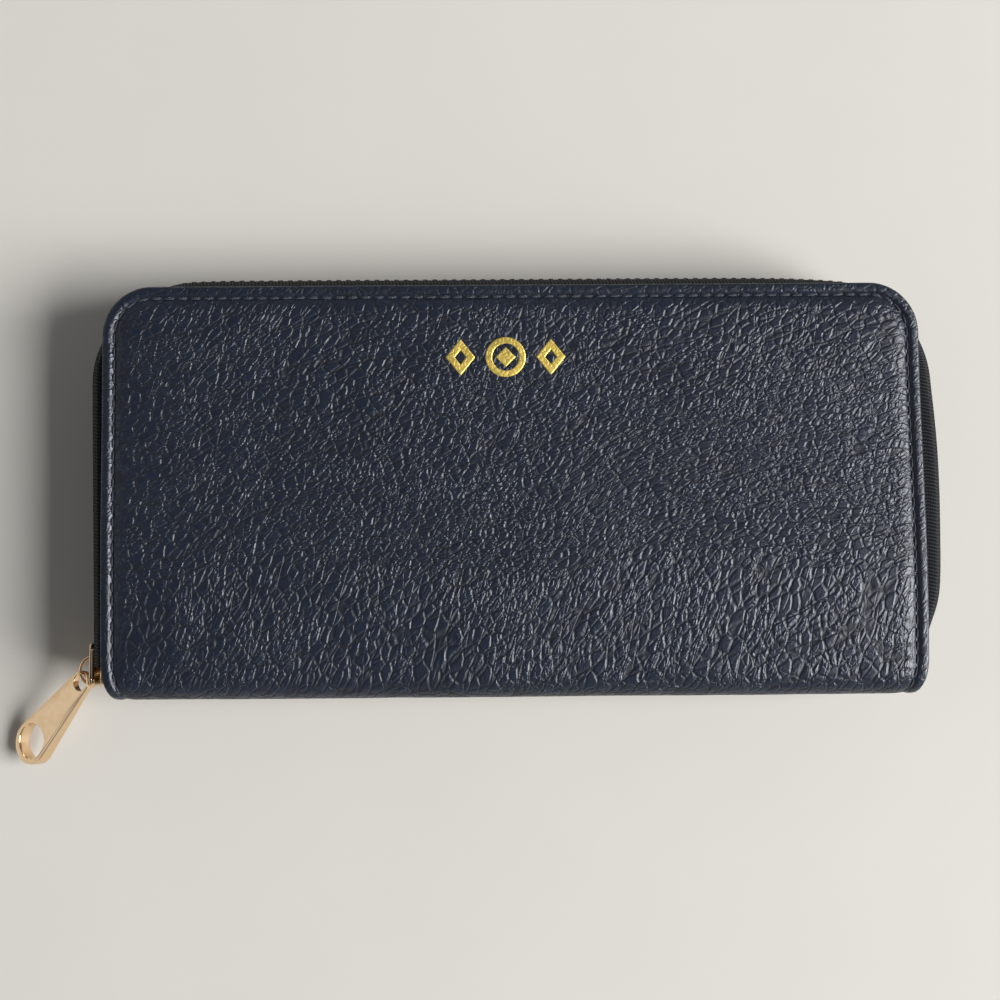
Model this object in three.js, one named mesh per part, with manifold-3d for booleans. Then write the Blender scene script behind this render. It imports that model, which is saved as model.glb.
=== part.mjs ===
// Zip around wallet, closed and lying on its back cover, in millimetres, +Z up.
// The origin is the middle of the back cover's resting face. +X runs along the wallet's length,
// -Y is the spine (the fold) and +Y the long side that opens. The zip wall runs round the left
// end, the +Y side and the right end, and the slider is parked at the left, beside the spine.
import * as THREE from "three";
import { mergeVertices } from "three/addons/utils/BufferGeometryUtils.js";
import Module from "manifold-3d";

const wasm = await Module();
wasm.setup();

// Driving dimensions.
const HALF_LENGTH = 95; // covers, along X
const EDGE_Y = 47; // free long edge of the covers
const SPINE_Y = -47; // outer face of the spine
const THICKNESS = 24; // closed wallet, over both covers
const MID_Z = THICKNESS / 2;
const CORNER_RADIUS = 11.5; // free corners of the covers
const GAP = 0.3; // clearance between pieces that touch in the real wallet

// Layers of each half, as heights over the resting face; the front half mirrors them.
const LEATHER = [0, 1.3];
const TAPE_FLANGE = [1.6, 2.2];
const BOARD = [1.6, 2.4];
const LINING = [2.7, 3.3];
const CARD_PANEL = [3.6, 4.1];
const CARD_STRIP = [4.4, 4.9];
const BOARD_INSET = 9;
const BOARD_SPINE_Y = -40;
const BOARD_CORNER = 8;
const LINING_INSET = 3;
const LINING_SPINE_Y = -43;
const LINING_CORNER = 15;

// Fold between a cover and the spine.
const FOLD_RADIUS = 4.7;
const FOLD_LENGTH = 187;
const SPINE_LEATHER = 1.3;
const STIFFENER = { length: 180, y: [-45.4, -44.6], margin: 5.4 };
const SPINE_LINING = { length: 182, y: [-44.3, -43.7], margin: 6 };

// Card slots: four stepped strips on each half, open towards +Y.
const CARD_LENGTH = 176;
const CARD_PANEL_Y = [-38, 34];
const CARD_STRIP_COUNT = 4;
const CARD_STEP = 12.4;
const CARD_STRIP_WIDTH = 12;
const CARD_FIRST_Y = -34;

// Zip wall: a path round three sides, standing a little outside the covers.
const ZIP_X = 98.9;
const ZIP_TOP_Y = 48.6;
const ZIP_CORNER = 23;
const ZIP_LEFT_START_Y = -41;
const ZIP_RIGHT_END_Y = -37;
const ZIP_STEPS = 90;
// Where the path tucks in under the covers: how deep, how far along the path, over what length.
const ZIP_TUCKS = [
  { depth: 1.2, at: 87, length: 12 },
  { depth: 2.9, at: 279, length: 23 },
  { depth: 3.4, at: 353.2, length: 8 },
];
const ZIP_END_X = ZIP_X - 3.4;
const TAPE = 0.6;
const TAPE_TOP_Z = 10.2;
const TEETH = { z: [10.5, 11.5], half: 0.95 };
const STOP = { half: 1.1, length: 2 };
const BOTTOM_STOP = { half: 1.2, length: 4, height: 4.4 };
const END_TAB = { left: [-95.4, -93.8], right: [92, 95.2], y: [-45.4, -41.6], height: 4 };

// Main slider, its bail and its pull.
const SLIDER = { length: 10.5, height: 9.2, plate: 0.8, y: -41.25 };
const SLIDER_OUTER_X = -ZIP_X - TEETH.half - 0.2;
const SLIDER_INNER_X = -ZIP_X + TEETH.half + 0.25;
const SLIDER_WEB = { thickness: 0.5, length: 2.4 };
const BAIL = { wire: 0.5, span: 6.8, rise: 3.3, tilt: 20, y: -42.6 };
const PULL = {
  eyeRadius: 2.6,
  headRadius: 5.3,
  reach: 21.4,
  eyeHole: 2.3,
  headHole: 4.2,
  eyeThickness: 1.0,
  headThickness: 3.3,
  eye: [-103.4, -45.4, 12.1], // centre of the eye
  heading: 229, // degrees from +X towards +Y, the way that the pull points in plan
  faceLean: 35, // degrees the pull's face leans from level
  faceHeading: 170, // the way that the face leans, in plan
};

// Coin pocket: a zipped centre compartment that stands on the spine.
const COIN = { length: 172, y: [-42, 31], walls: [9.2, 9.8], side: 0.8 };
const COIN_ZIP = { length: 164, tapeZ: [9.2, 10.6], tapeY: [31.3, 31.9], teethZ: [10.9, 11.5] };
const COIN_TEETH_Y = [30.9, 32.3];
const COIN_ANCHOR = { length: 160, y: [-43.4, -42.3], height: 1 };
const COIN_SLIDER = { x: -74, length: 7, plate: 0.8, top: 32.7, bottom: 29.7 };
const COIN_PULL = { length: 11, width: 4.2, y: [34.2, 35.2], hole: 1.1 };

// Side gussets: a sheet folded inwards between a half and the coin pocket.
const GUSSET = { outerX: 91, apexX: 79, y: [-38, 30], sheet: 0.5, z: [3.7, 8.9] };

const MATERIALS = {
  leather: { color: 0x333a49, roughness: 0.5, metalness: 0 },
  innerLeather: { color: 0x262c3a, roughness: 0.6, metalness: 0 },
  lining: { color: 0x22262f, roughness: 0.85, metalness: 0 },
  board: { color: 0x8c7a62, roughness: 0.9, metalness: 0 },
  tape: { color: 0x1b1c20, roughness: 0.8, metalness: 0 },
  teeth: { color: 0x101114, roughness: 0.4, metalness: 0 },
  gold: { color: 0xd8b27c, roughness: 0.18, metalness: 1 },
};

// A closed geometry as a solid with its faces outwards.
function solid(geometry) {
  const bare = geometry.index ? geometry.toNonIndexed() : geometry.clone();
  bare.deleteAttribute("normal");
  bare.deleteAttribute("uv");
  const merged = mergeVertices(bare, 1e-4);
  const vertProperties = merged.attributes.position.array;
  const triVerts = new Uint32Array(merged.index.array);
  const made = new wasm.Manifold(new wasm.Mesh({ numProp: 3, vertProperties, triVerts }));
  if (made.volume() > 0) return made;
  return new wasm.Manifold(
    new wasm.Mesh({ numProp: 3, vertProperties, triVerts: triVerts.toReversed() }),
  );
}

// A solid back as a geometry.
function geometryOf(body) {
  const mesh = body.getMesh();
  const geometry = new THREE.BufferGeometry();
  geometry.setAttribute("position", new THREE.BufferAttribute(mesh.vertProperties, 3));
  geometry.setIndex(new THREE.BufferAttribute(mesh.triVerts, 1));
  geometry.computeVertexNormals();
  return geometry;
}

const wallet = new THREE.Group();

// Adds one named piece of one material to the wallet.
function add(name, material, body) {
  const mesh = new THREE.Mesh(geometryOf(body), new THREE.MeshStandardMaterial(MATERIALS[material]));
  mesh.name = name;
  wallet.add(mesh);
}

// A box between two corners.
function box(x, y, z) {
  const geometry = new THREE.BoxGeometry(x[1] - x[0], y[1] - y[0], z[1] - z[0]);
  return solid(geometry.translate((x[0] + x[1]) / 2, (y[0] + y[1]) / 2, (z[0] + z[1]) / 2));
}

// A range of heights seen from the front half.
const mirrored = ([low, high]) => [THICKNESS - high, THICKNESS - low];

// An XY outline extruded between two heights.
function slab(shape, [low, high]) {
  const geometry = new THREE.ExtrudeGeometry(shape, {
    depth: high - low,
    bevelEnabled: false,
    curveSegments: 8,
  });
  return solid(geometry.translate(0, 0, low));
}

// Outline of a cover layer: square at the spine, rounded by r at the two free corners.
function coverOutline(inset, spineEdge, r) {
  const x = HALF_LENGTH - inset;
  const y = EDGE_Y - inset;
  const shape = new THREE.Shape();
  shape.moveTo(-x, spineEdge);
  shape.lineTo(x, spineEdge);
  shape.lineTo(x, y - r);
  shape.absarc(x - r, y - r, r, 0, Math.PI / 2);
  shape.lineTo(-x + r, y);
  shape.absarc(-x + r, y - r, r, Math.PI / 2, Math.PI);
  return shape;
}

// A YZ outline extruded along X, centred on X = 0.
function barAlongX(shape, length) {
  const geometry = new THREE.ExtrudeGeometry(shape, {
    depth: length,
    bevelEnabled: false,
    curveSegments: 8,
  });
  const toWorld = new THREE.Matrix4().makeBasis(
    new THREE.Vector3(0, 1, 0),
    new THREE.Vector3(0, 0, 1),
    new THREE.Vector3(1, 0, 0),
  );
  return solid(geometry.translate(0, 0, -length / 2).applyMatrix4(toWorld));
}

// Cover leather: the flat panel and the quarter round where it turns into the spine.
function coverLeather(front) {
  const foldY = SPINE_Y + FOLD_RADIUS;
  const panel = slab(coverOutline(0, foldY - 0.01, CORNER_RADIUS), LEATHER);
  const turn = new THREE.Shape();
  turn.absarc(foldY, FOLD_RADIUS, FOLD_RADIUS, Math.PI, 1.5 * Math.PI);
  turn.absarc(foldY, FOLD_RADIUS, FOLD_RADIUS - SPINE_LEATHER, 1.5 * Math.PI, Math.PI, true);
  const whole = panel.add(barAlongX(turn, FOLD_LENGTH));
  return front ? whole.mirror([0, 0, 1]).translate([0, 0, THICKNESS]) : whole;
}

// The zip's path in plan: up the left end, round a corner, along the long side and down the right.
class ZipPath extends THREE.Curve {
  constructor(leftStart, rightEnd) {
    super();
    const cornerY = ZIP_TOP_Y - ZIP_CORNER;
    this.leftStart = leftStart;
    this.arc = (Math.PI / 2) * ZIP_CORNER;
    this.side = cornerY - leftStart;
    this.top = 2 * (ZIP_X - ZIP_CORNER);
    this.total = this.side + this.top + 2 * this.arc + cornerY - rightEnd;
  }

  getPoint(t, target = new THREE.Vector3()) {
    const s = t * this.total;
    const overTop = this.side + this.arc;
    const downRight = overTop + this.top;
    const quarter = (from) => THREE.MathUtils.clamp((s - from) / ZIP_CORNER, 0, Math.PI / 2);
    const turn = Math.PI - quarter(this.side) - quarter(downRight);
    const inner = ZIP_X - ZIP_CORNER;
    const x = THREE.MathUtils.clamp(s - overTop - inner, -inner, inner);
    const fall = Math.max(s - downRight - this.arc, 0);
    const y = ZIP_TOP_Y - ZIP_CORNER - Math.max(this.side - s, 0) - fall;
    const tuck = ({ depth, at, length }) => depth * Math.exp(-(((s - at) / length) ** 2));
    const radius = ZIP_TUCKS.reduce((left, place) => left - tuck(place), ZIP_CORNER);
    return target.set(x + radius * Math.cos(turn), y + radius * Math.sin(turn), 0);
  }
}

// Carries a section round the zip's path. Each point is [outwards from the path, height].
function alongZip(points) {
  const section = new THREE.Shape(points.map(([out, z]) => new THREE.Vector2(-z, out)));
  const extrudePath = new ZipPath(ZIP_LEFT_START_Y, ZIP_RIGHT_END_Y);
  return solid(new THREE.ExtrudeGeometry(section, { steps: ZIP_STEPS, extrudePath }));
}

// Zip tape of one half: a flange held under the rim and a wall that bows out to the teeth.
function zipTape(front) {
  const [low, high] = TAPE_FLANGE;
  const half = TAPE / 2;
  const points = [
    [-7, low],
    [-1.2, low],
    [half, low + 2],
    [half, TAPE_TOP_Z],
    [-half, TAPE_TOP_Z],
    [-half, high + 1.8],
    [-1.6, high],
    [-7, high],
  ];
  return alongZip(points.map(([out, z]) => [out, front ? THICKNESS - z : z]));
}

function zipTeeth(front) {
  const [low, high] = front ? mirrored(TEETH.z) : TEETH.z;
  const half = TEETH.half;
  return alongZip([
    [-half, low],
    [half, low],
    [half, high],
    [-half, high],
  ]);
}

// Side gusset of one half: a sheet folded into a V that points into the wallet.
function gusset(side, front) {
  const { outerX, apexX, y, sheet, z } = GUSSET;
  const waist = (z[0] + z[1] + 2 * sheet) / 2;
  const section = [
    [outerX, z[0]],
    [outerX, z[0] + 2],
    [apexX + 1, waist],
    [outerX, z[1]],
    [outerX - 1, z[1]],
    [apexX, waist],
    [outerX - 1, z[0] + 2 - sheet],
    [outerX - 1, z[0]],
  ];
  const shape = new THREE.Shape(
    section.map(([x, height]) => new THREE.Vector2(side * x, front ? THICKNESS - height : height)),
  );
  const depth = y[1] - y[0];
  const geometry = new THREE.ExtrudeGeometry(shape, { depth, bevelEnabled: false });
  return solid(geometry.rotateX(Math.PI / 2).translate(0, y[1], 0));
}

// One half: cover, board, lining, zip tape and teeth, card slots and gussets.
function half(prefix, front) {
  const layer = (range) => (front ? mirrored(range) : range);
  const lengthwise = [-CARD_LENGTH / 2, CARD_LENGTH / 2];
  const stopY = [ZIP_LEFT_START_Y - GAP - STOP.length, ZIP_LEFT_START_Y - GAP];
  add(prefix + "_cover_leather", "leather", coverLeather(front));
  const board = coverOutline(BOARD_INSET, BOARD_SPINE_Y, BOARD_CORNER);
  const lining = coverOutline(LINING_INSET, LINING_SPINE_Y, LINING_CORNER);
  const stopX = [-ZIP_X - STOP.half, -ZIP_X + STOP.half];
  add(prefix + "_board", "board", slab(board, layer(BOARD)));
  add(prefix + "_lining", "lining", slab(lining, layer(LINING)));
  add(prefix + "_zip_tape", "tape", zipTape(front));
  add(prefix + "_zip_teeth", "teeth", zipTeeth(front));
  add(prefix + "_top_stop", "gold", box(stopX, stopY, layer(TEETH.z)));
  add(prefix + "_card_panel", "innerLeather", box(lengthwise, CARD_PANEL_Y, layer(CARD_PANEL)));
  for (let i = 0; i < CARD_STRIP_COUNT; i++) {
    const low = CARD_FIRST_Y + i * CARD_STEP;
    const strip = box(lengthwise, [low, low + CARD_STRIP_WIDTH], layer(CARD_STRIP));
    add(`${prefix}_card_slot_${i + 1}`, "innerLeather", strip);
  }
  add(prefix + "_gusset_left", "innerLeather", gusset(-1, front));
  add(prefix + "_gusset_right", "innerLeather", gusset(1, front));
}

// Spine: leather between the two folds, its stiffener, its lining and the ends of the zip.
function spine() {
  const across = (margin) => [margin, THICKNESS - margin];
  const along = (length) => [-length / 2, length / 2];
  const leatherY = [SPINE_Y, SPINE_Y + SPINE_LEATHER];
  add("spine_leather", "leather", box(along(FOLD_LENGTH), leatherY, across(FOLD_RADIUS + GAP)));
  add("spine_stiffener", "board", box(along(STIFFENER.length), STIFFENER.y, across(STIFFENER.margin)));
  add("spine_lining", "lining", box(along(SPINE_LINING.length), SPINE_LINING.y, across(SPINE_LINING.margin)));
  add("zip_end_tab_left", "tape", box(END_TAB.left, END_TAB.y, about(END_TAB.height)));
  add("zip_end_tab_right", "tape", box(END_TAB.right, END_TAB.y, about(END_TAB.height)));
  const stopX = [ZIP_END_X - BOTTOM_STOP.half, ZIP_END_X + BOTTOM_STOP.half];
  const stopY = [ZIP_RIGHT_END_Y - GAP - BOTTOM_STOP.length, ZIP_RIGHT_END_Y - GAP];
  add("zip_bottom_stop", "teeth", box(stopX, stopY, about(BOTTOM_STOP.height)));
}

// Coin pocket: two walls, three closed sides and a zip along its +Y edge.
function coinPocket() {
  const x = COIN.length / 2;
  const inner = [COIN.walls[1] + GAP, THICKNESS - COIN.walls[1] - GAP];
  const zipX = [-COIN_ZIP.length / 2, COIN_ZIP.length / 2];
  const teethX = [zipX[0] + 2, zipX[1] - 2];
  const sides = { back: (range) => range, front: mirrored };
  for (const [name, layer] of Object.entries(sides)) {
    add("coin_wall_" + name, "lining", box([-x, x], COIN.y, layer(COIN.walls)));
    add("coin_tape_" + name, "tape", box(zipX, COIN_ZIP.tapeY, layer(COIN_ZIP.tapeZ)));
    add("coin_teeth_" + name, "teeth", box(teethX, COIN_TEETH_Y, layer(COIN_ZIP.teethZ)));
  }
  add("coin_side_left", "lining", box([-x, -x + COIN.side], COIN.y, inner));
  add("coin_side_right", "lining", box([x - COIN.side, x], COIN.y, inner));
  const floorX = [-x + COIN.side + GAP, x - COIN.side - GAP];
  add("coin_floor", "lining", box(floorX, [COIN.y[0], COIN.y[0] + COIN.side], inner));
  const anchorX = [-COIN_ANCHOR.length / 2, COIN_ANCHOR.length / 2];
  add("coin_anchor_strip", "lining", box(anchorX, COIN_ANCHOR.y, about(COIN_ANCHOR.height)));
}

// Heights of a centred stretch of the zip.
const about = (height) => [MID_Z - height / 2, MID_Z + height / 2];

// Main slider: two plates either side of the teeth, joined by a web between the two rows,
// with the bail cast on the outer plate.
function mainSlider() {
  const { length, height, plate, y } = SLIDER;
  const travel = [y - length / 2, y + length / 2];
  const outer = box([SLIDER_OUTER_X - plate, SLIDER_OUTER_X], travel, about(height));
  const inner = box([SLIDER_INNER_X, SLIDER_INNER_X + plate], travel, about(height));
  const webX = [SLIDER_OUTER_X - plate / 2, SLIDER_INNER_X + plate / 2];
  const webY = [travel[0], travel[0] + SLIDER_WEB.length];
  const web = box(webX, webY, about(SLIDER_WEB.thickness));
  add("slider_body", "gold", outer.add(inner).add(web).add(bail()));
}

// Bail: a wire arch that stands out from the slider's outer plate, its crown tipped up.
function bail() {
  const { wire, span, rise, tilt } = BAIL;
  const arch = new THREE.CatmullRomCurve3(
    [0, 1, 2, 3, 4, 5, 6].map((i) => {
      const turn = (i / 6) * Math.PI;
      return new THREE.Vector3(-rise * Math.sin(turn), (-span / 2) * Math.cos(turn), 0);
    }),
  );
  const section = new THREE.Shape();
  section.absarc(0, 0, wire, 0, 2 * Math.PI);
  const options = { steps: 20, extrudePath: arch, curveSegments: 4 };
  const geometry = new THREE.ExtrudeGeometry(section, options);
  geometry.rotateY(THREE.MathUtils.degToRad(tilt));
  return solid(geometry.translate(SLIDER_OUTER_X - SLIDER.plate / 2, BAIL.y, MID_Z));
}

// Pull: a tapering tab, thin at the eye and thick at the head, with a hole at each end.
// It is shaped along +X from the eye's centre, then laid out from the bail down to the table.
function pullTab() {
  const { eyeRadius, headRadius, reach, eyeHole, headHole, eyeThickness, headThickness } = PULL;
  const lean = Math.asin((headRadius - eyeRadius) / reach);
  const outline = new THREE.Shape();
  outline.absarc(0, 0, eyeRadius, Math.PI / 2 + lean, 1.5 * Math.PI - lean);
  outline.absarc(reach, 0, headRadius, -Math.PI / 2 - lean, Math.PI / 2 + lean);
  for (const [x, radius] of [[0, eyeHole], [reach - 0.5, headHole]]) {
    const hole = new THREE.Path();
    hole.absarc(x, 0, radius, 0, 2 * Math.PI);
    outline.holes.push(hole);
  }
  const options = { depth: 1, bevelEnabled: false, curveSegments: 10 };
  const geometry = new THREE.ExtrudeGeometry(outline, options).translate(0, 0, -0.5);
  const position = geometry.attributes.position;
  for (let i = 0; i < position.count; i++) {
    const along = THREE.MathUtils.clamp(position.getX(i) / reach, 0, 1);
    const thickness = THREE.MathUtils.lerp(eyeThickness, headThickness, along);
    position.setZ(i, position.getZ(i) * thickness);
  }
  return geometry.applyMatrix4(pullPlace());
}

// The pull's place: its long axis points out and down from the bail, and its face leans out.
function pullPlace() {
  const faceLean = THREE.MathUtils.degToRad(PULL.faceLean);
  const faceHeading = THREE.MathUtils.degToRad(PULL.faceHeading);
  const normal = new THREE.Vector3(
    Math.sin(faceLean) * Math.cos(faceHeading),
    Math.sin(faceLean) * Math.sin(faceHeading),
    Math.cos(faceLean),
  );
  const heading = THREE.MathUtils.degToRad(PULL.heading);
  const along = new THREE.Vector3(Math.cos(heading), Math.sin(heading), 0);
  along.z = -(normal.x * along.x + normal.y * along.y) / normal.z;
  along.normalize();
  const across = new THREE.Vector3().crossVectors(normal, along);
  return new THREE.Matrix4().makeBasis(along, across, normal).setPosition(...PULL.eye);
}

function coinSlider() {
  const { x, length, plate, top, bottom } = COIN_SLIDER;
  const travel = [x - length / 2, x + length / 2];
  const topPlate = box(travel, [top, top + plate], about(4.2));
  const bottomPlate = box(travel, [bottom, bottom + plate], about(3.6));
  const webY = [bottom + plate / 2, top + plate / 2];
  const web = box([travel[0], travel[0] + 1.6], webY, about(SLIDER_WEB.thickness));
  add("coin_slider_body", "gold", topPlate.add(bottomPlate).add(web));
  const pull = new THREE.Shape();
  const half = COIN_PULL.width / 2;
  pull.moveTo(0, -half);
  pull.lineTo(COIN_PULL.length - half, -half);
  pull.absarc(COIN_PULL.length - half, 0, half, -Math.PI / 2, Math.PI / 2);
  pull.lineTo(0, half);
  const hole = new THREE.Path();
  hole.absarc(COIN_PULL.length - half, 0, COIN_PULL.hole, 0, 2 * Math.PI);
  pull.holes.push(hole);
  const depth = COIN_PULL.y[1] - COIN_PULL.y[0];
  const options = { depth, bevelEnabled: false, curveSegments: 6 };
  const geometry = new THREE.ExtrudeGeometry(pull, options);
  geometry.rotateX(Math.PI / 2).translate(x, COIN_PULL.y[1], MID_Z);
  add("coin_pull", "gold", solid(geometry));
}

half("back", false);
half("front", true);
spine();
coinPocket();
mainSlider();
add("pull_tab", "gold", solid(pullTab()));
coinSlider();

export default wallet;
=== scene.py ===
import math

import bmesh
import bpy
import numpy as np
from mathutils import Matrix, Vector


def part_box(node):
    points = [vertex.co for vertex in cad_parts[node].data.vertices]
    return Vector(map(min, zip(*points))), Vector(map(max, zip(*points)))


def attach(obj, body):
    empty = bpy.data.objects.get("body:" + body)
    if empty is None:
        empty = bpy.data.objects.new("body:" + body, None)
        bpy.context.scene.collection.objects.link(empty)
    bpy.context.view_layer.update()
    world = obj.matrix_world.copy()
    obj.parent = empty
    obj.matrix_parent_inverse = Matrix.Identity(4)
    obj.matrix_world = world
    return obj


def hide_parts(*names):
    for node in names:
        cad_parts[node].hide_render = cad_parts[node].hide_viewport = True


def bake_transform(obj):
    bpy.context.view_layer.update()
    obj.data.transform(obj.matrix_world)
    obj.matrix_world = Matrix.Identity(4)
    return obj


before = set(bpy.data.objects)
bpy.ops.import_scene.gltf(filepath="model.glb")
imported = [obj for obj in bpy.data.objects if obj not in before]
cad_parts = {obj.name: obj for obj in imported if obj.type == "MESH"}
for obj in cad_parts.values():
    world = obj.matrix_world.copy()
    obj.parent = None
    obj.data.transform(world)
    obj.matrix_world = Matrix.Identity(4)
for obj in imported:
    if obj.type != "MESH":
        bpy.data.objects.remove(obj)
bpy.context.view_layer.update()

# Shapes are worked out in millimetres, in the CAD frame, and turned into metres by piece().
MM = 0.001
WELD_DISTANCE = 2e-6

# Driving sizes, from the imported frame.
HALF_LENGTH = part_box("front_cover_leather")[1].x / MM
EDGE_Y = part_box("front_cover_leather")[1].y / MM
SPINE_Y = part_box("front_cover_leather")[0].y / MM
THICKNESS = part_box("front_cover_leather")[1].z / MM
MID_Z = THICKNESS / 2
ZIP_HALF = 0.95
ZIP_X = -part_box("front_zip_teeth")[0].x / MM - ZIP_HALF
ZIP_TOP_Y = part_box("front_zip_teeth")[1].y / MM - ZIP_HALF
ZIP_START_Y = -41.0
ZIP_END_Y = -37.0
ZIP_CORNER = 23.0
TOOTH_PITCH = 2.28

CORNER_RADIUS = 11.5
FOLD_RADIUS = 4.7
LEATHER_THICKNESS = 1.35
EDGE_ROUND = 0.6
PANEL_INSET = 3.0
STITCH_INSET = 2.75
STITCH = {"pitch": 3.0, "length": 2.5, "radius": 0.27}
CARD_STITCH = {"pitch": 2.6, "length": 2.0, "radius": 0.2}
UP = np.array([0.0, 0.0, 1.0])
ACROSS = np.array([1.0, 0.0, 0.0])
IN_PLAN = np.array([1, 1, 0])


# ---------------------------------------------------------------- meshes

def grid_quads(rows, columns, offset=0):
    """Quads of a rows x columns grid of points stored row by row."""
    r, c = np.meshgrid(np.arange(rows - 1), np.arange(columns - 1), indexing="ij")
    first = (offset + r * columns + c).ravel()
    return np.stack([first, first + 1, first + columns + 1, first + columns], 1)


def ring_quads(rings, sides, offset=0):
    """Quads of rings of points, each ring closed on itself."""
    r, s = np.meshgrid(np.arange(rings - 1), np.arange(sides), indexing="ij")
    here = offset + r * sides + s
    beside = offset + r * sides + (s + 1) % sides
    return np.stack([here, beside, beside + sides, here + sides], -1).reshape(-1, 4)


def piece(name, points, quads, body, slot, replaces=(), finish=None, uv=None):
    """One object from points in millimetres and quads, welded, with its faces outwards.

    Its material is the slot's own, unless another finish is named.
    """
    mesh = bpy.data.meshes.new(name)
    mesh.vertices.add(len(points))
    mesh.vertices.foreach_set("co", (np.asarray(points, np.float64) * MM).astype(np.float32).ravel())
    mesh.loops.add(quads.size)
    mesh.loops.foreach_set("vertex_index", quads.astype(np.int32).ravel())
    mesh.polygons.add(len(quads))
    mesh.polygons.foreach_set("loop_start", np.arange(0, quads.size, 4, dtype=np.int32))
    mesh.update(calc_edges=True)
    if uv is not None:
        layer = mesh.uv_layers.new(name="UVMap")
        layer.data.foreach_set("uv", uv[quads.ravel()].astype(np.float32).ravel())
    weld(mesh)
    return enlist(name, mesh, body, slot, replaces, finish)


def weld(mesh, crease=math.pi):
    """Welds a mesh, turns its faces outwards and smooths it, apart from edges sharper than crease."""
    work = bmesh.new()
    work.from_mesh(mesh)
    bmesh.ops.remove_doubles(work, verts=work.verts, dist=WELD_DISTANCE)
    bmesh.ops.recalc_face_normals(work, faces=work.faces)
    if crease < math.pi:
        for edge in work.edges:
            edge.smooth = len(edge.link_faces) != 2 or edge.calc_face_angle(0) < crease
    work.to_mesh(mesh)
    work.free()
    mesh.polygons.foreach_set("use_smooth", np.ones(len(mesh.polygons), bool))


def enlist(name, mesh, body, slot, replaces=(), finish=None):
    """Puts a finished mesh into the scene with its material, parents it to its body and hides the nodes
    it replaces.
    """
    made = bpy.data.objects.new(name, mesh)
    bpy.context.scene.collection.objects.link(made)
    mesh.materials.clear()
    mesh.materials.append(FINISH[finish or slot])
    if replaces:
        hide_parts(*replaces)
    if body:
        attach(made, body)
    return made


def shell(outer, inner):
    """A closed shell from two grids of the same size, joined along their borders."""
    rows, columns = outer.shape[:2]
    count = rows * columns
    index = np.arange(count).reshape(rows, columns)
    border = np.concatenate([index[0, :-1], index[:-1, -1], index[-1, :0:-1], index[:0:-1, 0]])
    after = np.roll(border, -1)
    band = np.stack([border, border + count, after + count, after], 1)
    quads = np.concatenate([grid_quads(rows, columns), grid_quads(rows, columns, count)[:, ::-1], band])
    return np.concatenate([outer.reshape(-1, 3), inner.reshape(-1, 3)]), quads


def capped(rings):
    """A closed tube from rings of points; each end is closed to its centre."""
    first = np.repeat(rings[:1].mean(1, keepdims=True), rings.shape[1], 1)
    last = np.repeat(rings[-1:].mean(1, keepdims=True), rings.shape[1], 1)
    rings = np.concatenate([first, rings, last])
    return rings.reshape(-1, 3), ring_quads(len(rings), rings.shape[1])


def sweep(points, sideways, upwards, section):
    """A section of [side, up] points carried along a path as a closed tube."""
    return capped(
        points[:, None]
        + section[None, :, 0, None] * sideways[:, None]
        + section[None, :, 1, None] * upwards[:, None]
    )


def repeated(one, size, count):
    """The quads of one shape of size points, repeated for count such shapes."""
    return (one[None] + (np.arange(count) * size)[:, None, None]).reshape(-1, 4)


def unit(vectors):
    """Rows of vectors brought to length 1."""
    return vectors / (np.linalg.norm(vectors, axis=1, keepdims=True) + 1e-9)


def circle(sides, start=0.0):
    """Points of a unit circle, the first one at angle start."""
    angle = np.linspace(0, 2 * math.pi, sides, endpoint=False) + start
    return np.stack([np.cos(angle), np.sin(angle)], 1)


def levelled(rings, level):
    """Rings of [x, y] points, each at its own height."""
    height = np.broadcast_to(level[:, None, None], (*rings.shape[:2], 1))
    return np.concatenate([rings, height], -1)


def rounding(low, high, radius, steps=5):
    """Inset and height of the rings that carry a rounded edge from low up to high."""
    turn = np.linspace(0, math.pi / 2, steps)
    inset = np.concatenate([radius * (1 - np.sin(turn)), radius * (1 - np.cos(turn))])
    height = np.concatenate([low + radius * (1 - np.cos(turn)), high - radius * (1 - np.sin(turn))])
    return inset, height


def corner_cut(distance, radius):
    """How far a rounded corner draws the side in, at a distance from the edge it runs into."""
    return radius - np.sqrt(np.clip(radius**2 - np.clip(radius - distance, 0, None) ** 2, 0, None))


def across_fold(made, half, near, far):
    """Bakes a piece's transform into its mesh; it does not blend it from its half, at height near, to
    the spine, at height far.

    Heights are the front half's; the back half's are the same seen from the other side. near and far are
    not used.
    """
    if half == "back":
        near, far = THICKNESS - near, THICKNESS - far
    near * MM
    far * MM
    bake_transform(made)


def joined(parts):
    """Several (points, quads) as one."""
    points, quads, count = [], [], 0
    for some, faces in parts:
        points.append(some)
        quads.append(faces + count)
        count += len(some)
    return np.concatenate(points), np.concatenate(quads)


def ease(x):
    """Smooth step from 0 at 0 to 1 at 1."""
    x = np.clip(x, 0, 1)
    return x * x * (3 - 2 * x)


def quarter_round(d, radius):
    """Drop of a rounded edge: radius at the edge itself, and 0 from radius inwards."""
    return radius - np.sqrt(np.clip(radius**2 - (radius - np.clip(d, 0, radius)) ** 2, 0, None))


def flipped(points):
    """The same points seen from the other half: mirrored through the wallet's middle height."""
    turned = points.copy()
    turned[..., 2] = THICKNESS - turned[..., 2]
    return turned


def on_half(points, half):
    """Points worked out for the back half, moved to the half they belong to."""
    return flipped(points) if half == "front" else points


def edge_steps(length, fine, step):
    """Stations from 0 to length, fine ones at both ends and even ones between."""
    start = np.array([f for f in fine if f < length / 2])
    middle = np.linspace(start[-1], length - start[-1], max(2, round((length - 2 * start[-1]) / step)))
    return np.concatenate([start[:-1], middle, (length - start[:-1])[::-1]])


# ---------------------------------------------------------------- materials

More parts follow.
